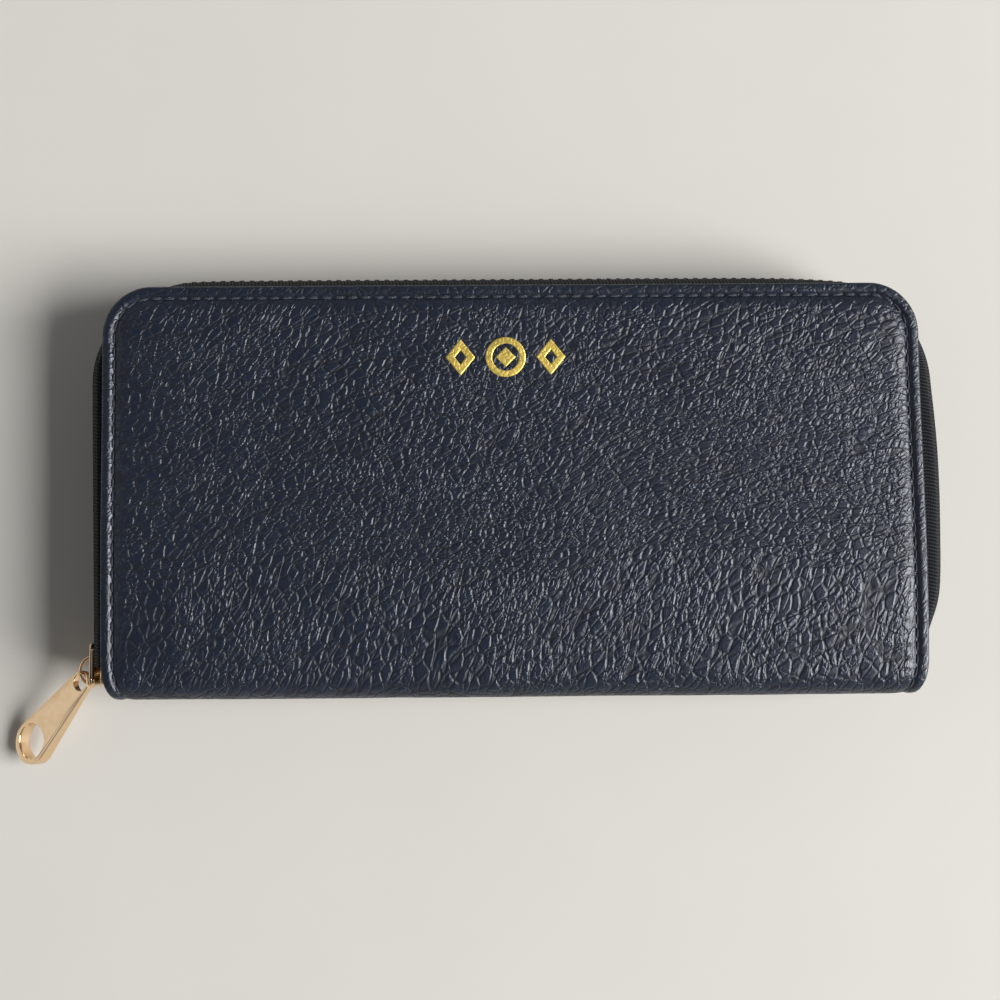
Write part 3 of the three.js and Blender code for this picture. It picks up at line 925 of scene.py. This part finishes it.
def gusset(half, side):
    """Side gusset: a leather sheet folded inwards, deepest at the opening and shallow at the spine."""
    node = f"{half}_gusset_{side}"
    x, y, z = node_range(node)
    sign = -1 if side == "left" else 1
    outer_x = max(abs(x[0]), abs(x[1]))
    depth = outer_x - min(abs(x[0]), abs(x[1]))
    low, high = (z[0], z[1]) if half == "back" else (THICKNESS - z[1], THICKNESS - z[0])
    bend = np.linspace(-1, 1, 33)[None]
    run = np.linspace(0, 1, 36)[:, None]
    wall_edge = node_range("coin_wall_back")[0][1]
    seam = outer_x - GUSSET_EDGE + (wall_edge - outer_x + 0.6) * (bend + 1) / 2
    inward = (depth - 3.0) * (0.3 + 0.7 * run) * (1 - np.abs(bend) ** 1.15)
    inward = inward * (1 + 0.04 * np.sin(run * 9))
    across = sign * (seam - inward)
    along = y[0] + (y[1] - y[0]) * run + 0 * bend
    reach = np.where(bend > 0, (high - low) / 2 + GUSSET_SEAM, (high - low) / 2)
    height = (low + high) / 2 + 0.25 * np.sin(run * 5) * (1 - bend**2) + bend * reach
    sheet = sign * GUSSET_HALF_SHEET
    outer, inner = [np.stack([across + d, along, height], -1) for d in (sheet, -sheet)]
    points, quads = shell(outer, inner)
    name = f"{half}_gusset_leather_{side}"
    made = piece(name, on_half(points, half), quads, None, "smooth_leather", [node])
    inside = 0.4
    across_fold(made, half, THICKNESS - low - inside, THICKNESS - high + inside)


# ---------------------------------------------------------------- spine and coin pocket

def wall_relief(across, along, inset):
    """Slow unevenness of the coin pocket's cloth, dying away at the seams."""
    return 0.06 * np.sin(across / 11) * np.sin(along / 9) * ease(inset / 2)


def coin_walls():
    """The coin pocket's two walls, as soft-edged panels over their nodes."""
    for node in ("coin_wall_back", "coin_wall_front"):
        shape = soft_panel(*node_range(node), relief=wall_relief)
        piece(node + "_cloth", *shape, "spine", "twill_lining", [node])


def soft_block(node, name, slot, body, finish=None):
    """A box-shaped node with every edge rounded: rings of a rounded rectangle stacked along Z."""
    x, y, z = node_range(node)
    edge = min(0.25, (x[1] - x[0]) / 2.2, (y[1] - y[0]) / 2.2, (z[1] - z[0]) / 2.2)
    inset, height = rounding(*z, edge)
    arc = np.linspace(0, math.pi / 2, 4)
    angle = (arc + np.arange(4)[:, None] * math.pi / 2).ravel()
    corner = np.repeat([(1, 1), (-1, 1), (-1, -1), (1, -1)], 4, axis=0)
    away = np.stack([np.cos(angle), np.sin(angle)], 1)
    half = np.array([x[1] - x[0], y[1] - y[0]]) / 2
    centre = np.array([x[0] + x[1], y[0] + y[1]]) / 2
    plan = centre + corner * (half - edge) + away * (edge - inset)[:, None, None]
    piece(name, *capped(levelled(plan, height)), body, slot, [node], finish)


def coin_zip():
    """Teeth of the coin zip: two rows of small rounded teeth along X."""
    pitch, sides = 1.5, 8
    stack = np.array([-0.75, -0.6, -0.2, 0.25, 0.45, 0.5])
    wide = np.array([0.0, 0.42, 0.5, 0.42, 0.25, 0.0])
    deep = np.array([0.0, 0.5, 0.65, 0.6, 0.4, 0.0])
    cosine, sine = circle(sides).T
    for side in ("back", "front"):
        node = "coin_teeth_" + side
        x, y, z = node_range(node)
        shift = 0 if side == "back" else pitch / 2
        s = np.arange(x[0] + 0.8 + shift, x[1] - 0.5, pitch)
        level = (z[0] + z[1]) / 2 if side == "back" else THICKNESS - (z[0] + z[1]) / 2
        along = s[:, None, None] + cosine * wide[:, None]
        across = (y[0] + y[1]) / 2 + sine * deep[:, None]
        height = (level + stack)[:, None]
        points = np.stack(np.broadcast_arrays(along, across, height), -1).reshape(-1, 3)
        quads = repeated(ring_quads(len(stack), sides), len(stack) * sides, len(s))
        name = "coin_zip_teeth_" + side
        piece(name, on_half(points, side), quads, "spine", "zip_teeth", [node])


# ---------------------------------------------------------------- metal

SLIDER = {"nose": 4.5, "tail": 3.7, "plate": 0.8, "outer_gap": 0.2, "inner_gap": 0.25}
SLIDER_POST = (1.1, 0.6)
SLIDER_STATIONS = [0, 0.08, 0.22, 0.5, 0.85, 1]
BAIL = {"y": -42.6, "half_span": 3.4, "rise": 3.3, "half_wire": 0.4, "half_strap": 0.8}
BAIL_TILT = math.radians(20)
PULL = {"eye": 2.8, "head": 5.3, "reach": 21.4, "eye_hole": 2.05, "head_hole": 4.15}
PULL_THICKNESS = {"eye": 1.5, "head": 3.3}
PULL_EYE = (-103.4, -45.4, 12.1)
PULL_HEADING, PULL_LEAN, PULL_LEAN_HEADING = (math.radians(v) for v in (229, 35, 170))
METAL_CREASE = math.radians(24)
# Heights along Y of the coin slider's upper and lower plate.
COIN_PLATES = (32.7, 29.7)


def plate(outline, low, high, bevel):
    """A plate from a closed outline: rings that step in round both edges, closed to the middle."""
    tangent = unit(unit(outline - np.roll(outline, 1, 0)) + unit(np.roll(outline, -1, 0) - outline))
    inward = np.stack([-tangent[:, 1], tangent[:, 0]], 1)
    inset, level = rounding(low, high, bevel)
    rings = levelled(outline[None] + inward[None] * inset[:, None, None], level)
    centre = np.broadcast_to(outline.mean(0), (2, len(outline), 2))
    caps = levelled(centre, np.array([low, high]))
    points = np.concatenate([caps[:1], rings, caps[1:]])
    return points.reshape(-1, 3), ring_quads(len(points), len(outline))


def slider_outline(length, nose, tail):
    """Outline of a slider plate: broad round shoulders at the nose, tapering to a straight tail."""
    share = np.linspace(0, 1, 25)
    widths = [nose * 0.62, nose * 0.9, nose, nose * 0.9, tail, tail * 0.9]
    width = np.interp(share, SLIDER_STATIONS, widths)
    along = (share - 0.5) * length
    return np.concatenate([np.stack([along, -width], 1), np.stack([along, width], 1)[::-1]])


def on_end(points, along):
    """Points [length, width, height] of a part that stands out along X, from its own middle."""
    return np.stack([points[:, 2], points[:, 0] + along, points[:, 1] + MID_Z], 1)


def main_slider():
    """Slider: two shaped plates with turned-in flanges, the post between them, and the bail."""
    y = node_range("slider_body")[1]
    outline = slider_outline(y[1] - y[0], SLIDER["nose"], SLIDER["tail"])
    centre_y = (y[0] + y[1]) / 2
    outer_teeth, inner_teeth = -ZIP_X - ZIP_HALF, -ZIP_X + ZIP_HALF
    outer_face = outer_teeth - SLIDER["outer_gap"]
    inner_face = inner_teeth + SLIDER["inner_gap"]
    outer_plate = (outer_face - SLIDER["plate"], outer_face)
    inner_plate = (inner_face, inner_face + SLIDER["plate"])
    parts = []
    for low, high in (outer_plate, inner_plate):
        points, quads = plate(outline, low, high, 0.32)
        parts.append((on_end(points, centre_y), quads))
    post = circle(24) * SLIDER_POST
    points, quads = plate(post, outer_plate[0] + 0.3, inner_plate[1] - 0.25, 0.1)
    parts.append((on_end(points, y[0] + 1.5), quads))
    line = np.linspace(-4.2, 4.0, 30)
    share = line / (y[1] - y[0]) + 0.5
    edge = np.interp(share, [0.1, *SLIDER_STATIONS[2:]], [3.8, 4.15, 3.75, 3.4, 3.3])
    for flange in (-1, 1):
        for x, sign in ((outer_teeth - 0.35, 1), (inner_teeth + 0.4, -1)):
            path = np.stack([np.full(len(line), x), centre_y + line, MID_Z + flange * edge], 1)
            section = circle(10) * (0.5, 0.34) + (0.2 * sign, 0)
            sideways = np.broadcast_to(ACROSS, path.shape)
            parts.append(sweep(path, sideways, np.broadcast_to(UP, path.shape), section))
    parts.append(bail(outer_plate[0]))
    piece("slider", *joined(parts), "zip_slider", "gold_metal", ["slider_body"])


def bail(base_x):
    """Bail: an oval wire bent into an arch whose feet flare where they meet the plate."""
    turn = np.linspace(0, math.pi, 41)
    out = BAIL["rise"] * np.sin(turn)
    x = base_x + 0.3 - out * math.cos(BAIL_TILT)
    y = BAIL["y"] - BAIL["half_span"] * np.cos(turn)
    path = np.stack([x, y, MID_Z + out * math.sin(BAIL_TILT)], 1)
    forward = unit(np.gradient(path, axis=0))
    plane = np.array([math.sin(BAIL_TILT), 0, math.cos(BAIL_TILT)])
    upward = np.broadcast_to(plane, path.shape)
    sideways = np.cross(forward, upward)
    flare = 1 + 0.7 * np.exp(-np.minimum(turn, math.pi - turn) / 0.18)
    cosine, sine = circle(12).T
    return capped(
        path[:, None]
        + sideways[:, None] * (cosine * BAIL["half_wire"] * flare[:, None])[..., None]
        + upward[:, None] * (sine * BAIL["half_strap"] * flare[:, None])[..., None]
    )


def circle_spline(curve, x, radius, count=4):
    """A closed round spline of count Bezier points on a flat curve."""
    spline = curve.splines.new("BEZIER")
    spline.bezier_points.add(count - 1)
    handle = radius * 4 / 3 * math.tan(math.pi / 2 / count)
    for i, point in enumerate(spline.bezier_points):
        angle = 2 * math.pi * i / count
        c, s = math.cos(angle), math.sin(angle)
        point.co = (x + radius * c, radius * s, 0)
        point.handle_left = (x + radius * c + handle * s, radius * s - handle * c, 0)
        point.handle_right = (x + radius * c - handle * s, radius * s + handle * c, 0)
    spline.use_cyclic_u = True


def pull_outline(eye, head, reach):
    """Outline of the pull: two round ends joined by their common tangents."""
    lean = math.asin((head - eye) / reach)
    near = np.linspace(math.pi / 2 + lean, 1.5 * math.pi - lean, 40)
    far = np.linspace(-math.pi / 2 - lean, math.pi / 2 + lean, 64)
    return np.concatenate(
        [
            np.stack([eye * np.cos(near), eye * np.sin(near)], 1),
            np.stack([reach + head * np.cos(far), head * np.sin(far)], 1),
        ]
    )


def pull_place():
    """Matrix from the pull's own plan to its place, hanging from the bail down to the table."""
    normal = np.array(
        [
            math.sin(PULL_LEAN) * math.cos(PULL_LEAN_HEADING),
            math.sin(PULL_LEAN) * math.sin(PULL_LEAN_HEADING),
            math.cos(PULL_LEAN),
        ]
    )
    along = np.array([math.cos(PULL_HEADING), math.sin(PULL_HEADING), 0])
    along[2] = -(normal @ along) / normal[2]
    along /= np.linalg.norm(along)
    across = np.cross(normal, along)
    place = np.eye(4)
    place[:3, 0], place[:3, 1], place[:3, 2], place[:3, 3] = along, across, normal, PULL_EYE
    return place


def flat_metal(name, outline, holes, bevel):
    """A flat curve filled between its outline and its holes, with a rounded edge, as a mesh.

    It is one millimetre thick in all, from -0.5 to 0.5, in millimetres.
    """
    curve = bpy.data.curves.new(name, "CURVE")
    curve.dimensions = "2D"
    curve.fill_mode = "BOTH"
    curve.extrude = 0.5 - bevel
    curve.bevel_depth = bevel
    curve.bevel_resolution = 4
    curve.offset = -bevel
    curve.resolution_u = 16
    spline = curve.splines.new("POLY")
    spline.points.add(len(outline) - 1)
    spline.points.foreach_set("co", np.pad(outline, ((0, 0), (0, 2))).ravel())
    spline.use_cyclic_u = True
    for x, radius in holes:
        circle_spline(curve, x, radius)
    holder = bpy.data.objects.new(name, curve)
    bpy.context.scene.collection.objects.link(holder)
    bpy.context.view_layer.update()
    graph = bpy.context.evaluated_depsgraph_get()
    mesh = bpy.data.meshes.new_from_object(holder.evaluated_get(graph))
    bpy.data.objects.remove(holder)
    bpy.data.curves.remove(curve)
    return mesh


def settle(mesh, points):
    """Writes points in millimetres to a mesh and finishes it with crisp edges."""
    mesh.vertices.foreach_set("co", (points * MM).astype(np.float32).ravel())
    weld(mesh, METAL_CREASE)


def mesh_points(mesh):
    flat = np.zeros(len(mesh.vertices) * 3, np.float32)
    mesh.vertices.foreach_get("co", flat)
    return flat.reshape(-1, 3).astype(float)


def zip_pull():
    """Pull: a tab that thickens from eye to head, so that its polished sides show as wedges."""
    outline = pull_outline(PULL["eye"], PULL["head"], PULL["reach"])
    holes = [(0, PULL["eye_hole"]), (PULL["reach"] - 0.5, PULL["head_hole"])]
    mesh = flat_metal("pull", outline, holes, 0.17)
    points = mesh_points(mesh)
    share = np.clip(points[:, 0] / PULL["reach"], 0, 1)
    eye, head = PULL_THICKNESS["eye"], PULL_THICKNESS["head"]
    points[:, 2] *= eye + (head - eye) * share
    place = pull_place()
    settle(mesh, points @ place[:3, :3].T + place[:3, 3])
    enlist("pull", mesh, "zip_pull", "gold_metal", ["pull_tab"])


def coin_slider():
    """Coin zip's slider, its bail and its small pull."""
    x, y, _ = node_range("coin_slider_body")
    centre_x = (x[0] + x[1]) / 2
    outline = slider_outline(x[1] - x[0], 2.1, 1.6)

    def lying(shape, along):
        points, quads = shape
        return np.stack([points[:, 0] + along, points[:, 2], points[:, 1] + MID_Z], 1), quads

    sheet = 0.8
    parts = [lying(plate(outline, low, low + sheet, 0.25), centre_x) for low in COIN_PLATES]
    post = plate(circle(16) * (0.7, 0.3), COIN_PLATES[1] + 0.5, COIN_PLATES[0] + 0.3, 0.05)
    parts.append(lying(post, x[0] + 1.0))
    turn = np.linspace(0, math.pi, 25)
    bail_x, bail_y = centre_x - 0.6, COIN_PLATES[0] + 0.6
    arch = [bail_x - 1.7 * np.cos(turn), bail_y + 2.2 * np.sin(turn), np.full(len(turn), MID_Z)]
    path = np.stack(arch, 1)
    forward = unit(np.gradient(path, axis=0))
    upward = np.broadcast_to(UP, path.shape)
    parts.append(sweep(path, np.cross(forward, upward), upward, circle(8) * (0.25, 0.4)))
    piece("coin_slider", *joined(parts), "coin_zip_slider", "gold_metal", ["coin_slider_body"])
    x, y, _ = node_range("coin_pull")
    half_width, eye_x = 2.1, x[0] + 0.6
    reach = x[1] - eye_x - half_width
    outline = pull_outline(1.6, half_width, reach)
    mesh = flat_metal("coin_pull_tab", outline, [(0.0, 1.0), (reach, 1.1)], 0.16)
    flat = mesh_points(mesh)
    points = [flat[:, 0] + eye_x, (y[0] + y[1]) / 2 + flat[:, 2], MID_Z + flat[:, 1]]
    settle(mesh, np.stack(points, 1))
    enlist("coin_pull_tab", mesh, "coin_zip_pull", "gold_metal", ["coin_pull"])


# ---------------------------------------------------------------- foil ornament

FRONT_SLANT, FRONT_CROWN, FRONT_SEED = 2.2, 0.85, 11


def foil_ornament():
    """Three stamped foil figures on the front cover: a ring between two lozenges.

    Each is a loop of points at a share of its size between an inner and an outer outline, laid on
    the leather's own surface a little above it.
    """
    middle_x, middle_t = -2.4, EDGE_Y - 30.2
    thickness, count, spacing = 0.05, 96, 10.4
    cosine, sine = circle(count).T
    lozenge = 1 / (np.abs(cosine) + np.abs(sine))
    figures = [
        (-spacing, lozenge * 4.2, 0.4),
        (0, np.full(count, 4.6), 0.68),
        (spacing, lozenge * 4.2, 0.4),
        (0, lozenge * 2.3, 0.0),
    ]
    parts = []
    for shift, radius, hollow in figures:
        share = np.linspace(hollow, 1, 7)[:, None]
        x = middle_x + shift + share * radius * cosine * (0.8 if shift else 1)
        t = middle_t + share * radius * sine
        bed = skin_rise(x, t, FRONT_SLANT, FRONT_CROWN, FRONT_SEED)
        top = skin(x, t, bed + thickness)
        base = skin(x, t, bed - thickness)
        rings = np.concatenate([top, base[::-1], top[:1]])
        parts.append((rings.reshape(-1, 3), ring_quads(len(rings), count)))
    piece("foil_ornament", *joined(parts), "front_half", "gold_metal", finish="foil")


# ---------------------------------------------------------------- the wallet

cover_leather("front", FRONT_SLANT, FRONT_CROWN, FRONT_SEED)
cover_leather("back", 0.0, 0.0, 5)
rim_stitching("front", FRONT_SLANT)
rim_stitching("back", 0.0)
foil_ornament()
for half in ("back", "front"):
    zip_tape(half)
    zip_teeth(half)
    inner_layers(half)
    for side in ("left", "right"):
        gusset(half, side)
coin_walls()
coin_zip()
main_slider()
zip_pull()
coin_slider()

SOFT_BLOCKS = {
    "spine_lining": ("spine_lining_leather", "smooth_leather"),
    "zip_end_tab_left": ("end_tab_left", "smooth_leather"),
    "zip_end_tab_right": ("end_tab_right", "smooth_leather"),
    "coin_side_left": ("coin_side_cloth_left", "twill_lining"),
    "coin_side_right": ("coin_side_cloth_right", "twill_lining"),
    "coin_floor": ("coin_floor_cloth", "twill_lining"),
    "coin_anchor_strip": ("coin_anchor_cloth", "twill_lining"),
    "coin_tape_back": ("coin_zip_tape_back", "twill_lining"),
    "coin_tape_front": ("coin_zip_tape_front", "twill_lining"),
    "zip_bottom_stop": ("bottom_stop", "zip_teeth"),
}
for node, (name, finish) in SOFT_BLOCKS.items():
    soft_block(node, name, "zip_tape" if "tape" in node else finish, "spine", finish)
for half in ("back", "front"):
    soft_block(half + "_top_stop", half + "_stop", "gold_metal", half + "_half")
for node in ("back_board", "front_board", "spine_stiffener"):
    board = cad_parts[node].data
    board.materials.clear()
    board.materials.append(FINISH["paperboard"])


# ---------------------------------------------------------------- stage

def floor():
    """Plain pale table top under the wallet."""
    made = Finish("pale_table", roughness=0.8)
    place = made.place()
    tone = made.noise(place, 14, 4.0, 0.6)
    material = made.out(made.mix(tone, (0.6, 0.565, 0.51), (0.64, 0.605, 0.55)))
    mesh = bpy.data.meshes.new("table_top")
    reach = 9.0
    corners = [(x * reach, y * reach, 0) for x, y in ((-1, -1), (1, -1), (1, 1), (-1, 1))]
    mesh.from_pydata(corners, [], [(0, 1, 2, 3)])
    mesh.materials.append(material)
    made = bpy.data.objects.new("table_top", mesh)
    bpy.context.scene.collection.objects.link(made)


def light(name, place, size, power, colour):
    """A rectangular area light at a place, turned to the wallet; sizes in metres."""
    data = bpy.data.lights.new(name, "AREA")
    data.shape = "RECTANGLE"
    data.size, data.size_y = size
    data.energy, data.color = power, colour
    made = bpy.data.objects.new(name, data)
    z = np.array(place) / np.linalg.norm(place)
    x = np.cross([0, 1, 0.01], z)
    x /= np.linalg.norm(x)
    turn = np.eye(4)
    turn[:3, 0], turn[:3, 1], turn[:3, 2], turn[:3, 3] = x, np.cross(z, x), z, place
    made.matrix_world = Matrix(turn.tolist())
    bpy.context.scene.collection.objects.link(made)


def studio():
    """A large window to the right, surroundings dark overhead, and a low card for the metal."""
    world = bpy.data.worlds.new("surroundings")
    world.use_nodes = True
    tree = world.node_tree
    place = tree.nodes.new("ShaderNodeTexCoord")
    axes = tree.nodes.new("ShaderNodeSeparateXYZ")
    fade = tree.nodes.new("ShaderNodeMapRange")
    fade.inputs["From Min"].default_value, fade.inputs["From Max"].default_value = 0.35, 0.9
    fade.inputs["To Min"].default_value, fade.inputs["To Max"].default_value = 0.4, 0.03
    tree.links.new(place.outputs["Generated"], axes.inputs[0])
    tree.links.new(axes.outputs["Z"], fade.inputs["Value"])
    tree.links.new(fade.outputs[0], tree.nodes["Background"].inputs["Strength"])
    tree.nodes["Background"].inputs["Color"].default_value = (0.9, 0.95, 1.0, 1)
    bpy.context.scene.world = world
    light("window", (2.1, -0.4, 1.62), (1.7, 1.6), 134, (0.96, 0.98, 1.0))
    light("left_card", (-1.0, 0.2, 0.4), (0.9, 0.7), 0.7, (1.0, 0.97, 0.93))


def camera():
    """Camera straight above the wallet, its long side across the picture."""
    data = bpy.data.cameras.new("camera")
    height, cover_width = 0.42, 0.2306
    data.sensor_width = 36
    data.lens = data.sensor_width * (height - THICKNESS * MM) / cover_width
    made = bpy.data.objects.new("camera", data)
    made.location = (-0.0039, -0.0027, height)
    made.rotation_euler = (0, 0, math.radians(-0.35))
    bpy.context.scene.collection.objects.link(made)
    bpy.context.scene.camera = made


floor()
studio()
camera()
bpy.context.scene.view_settings.view_transform = "Standard"
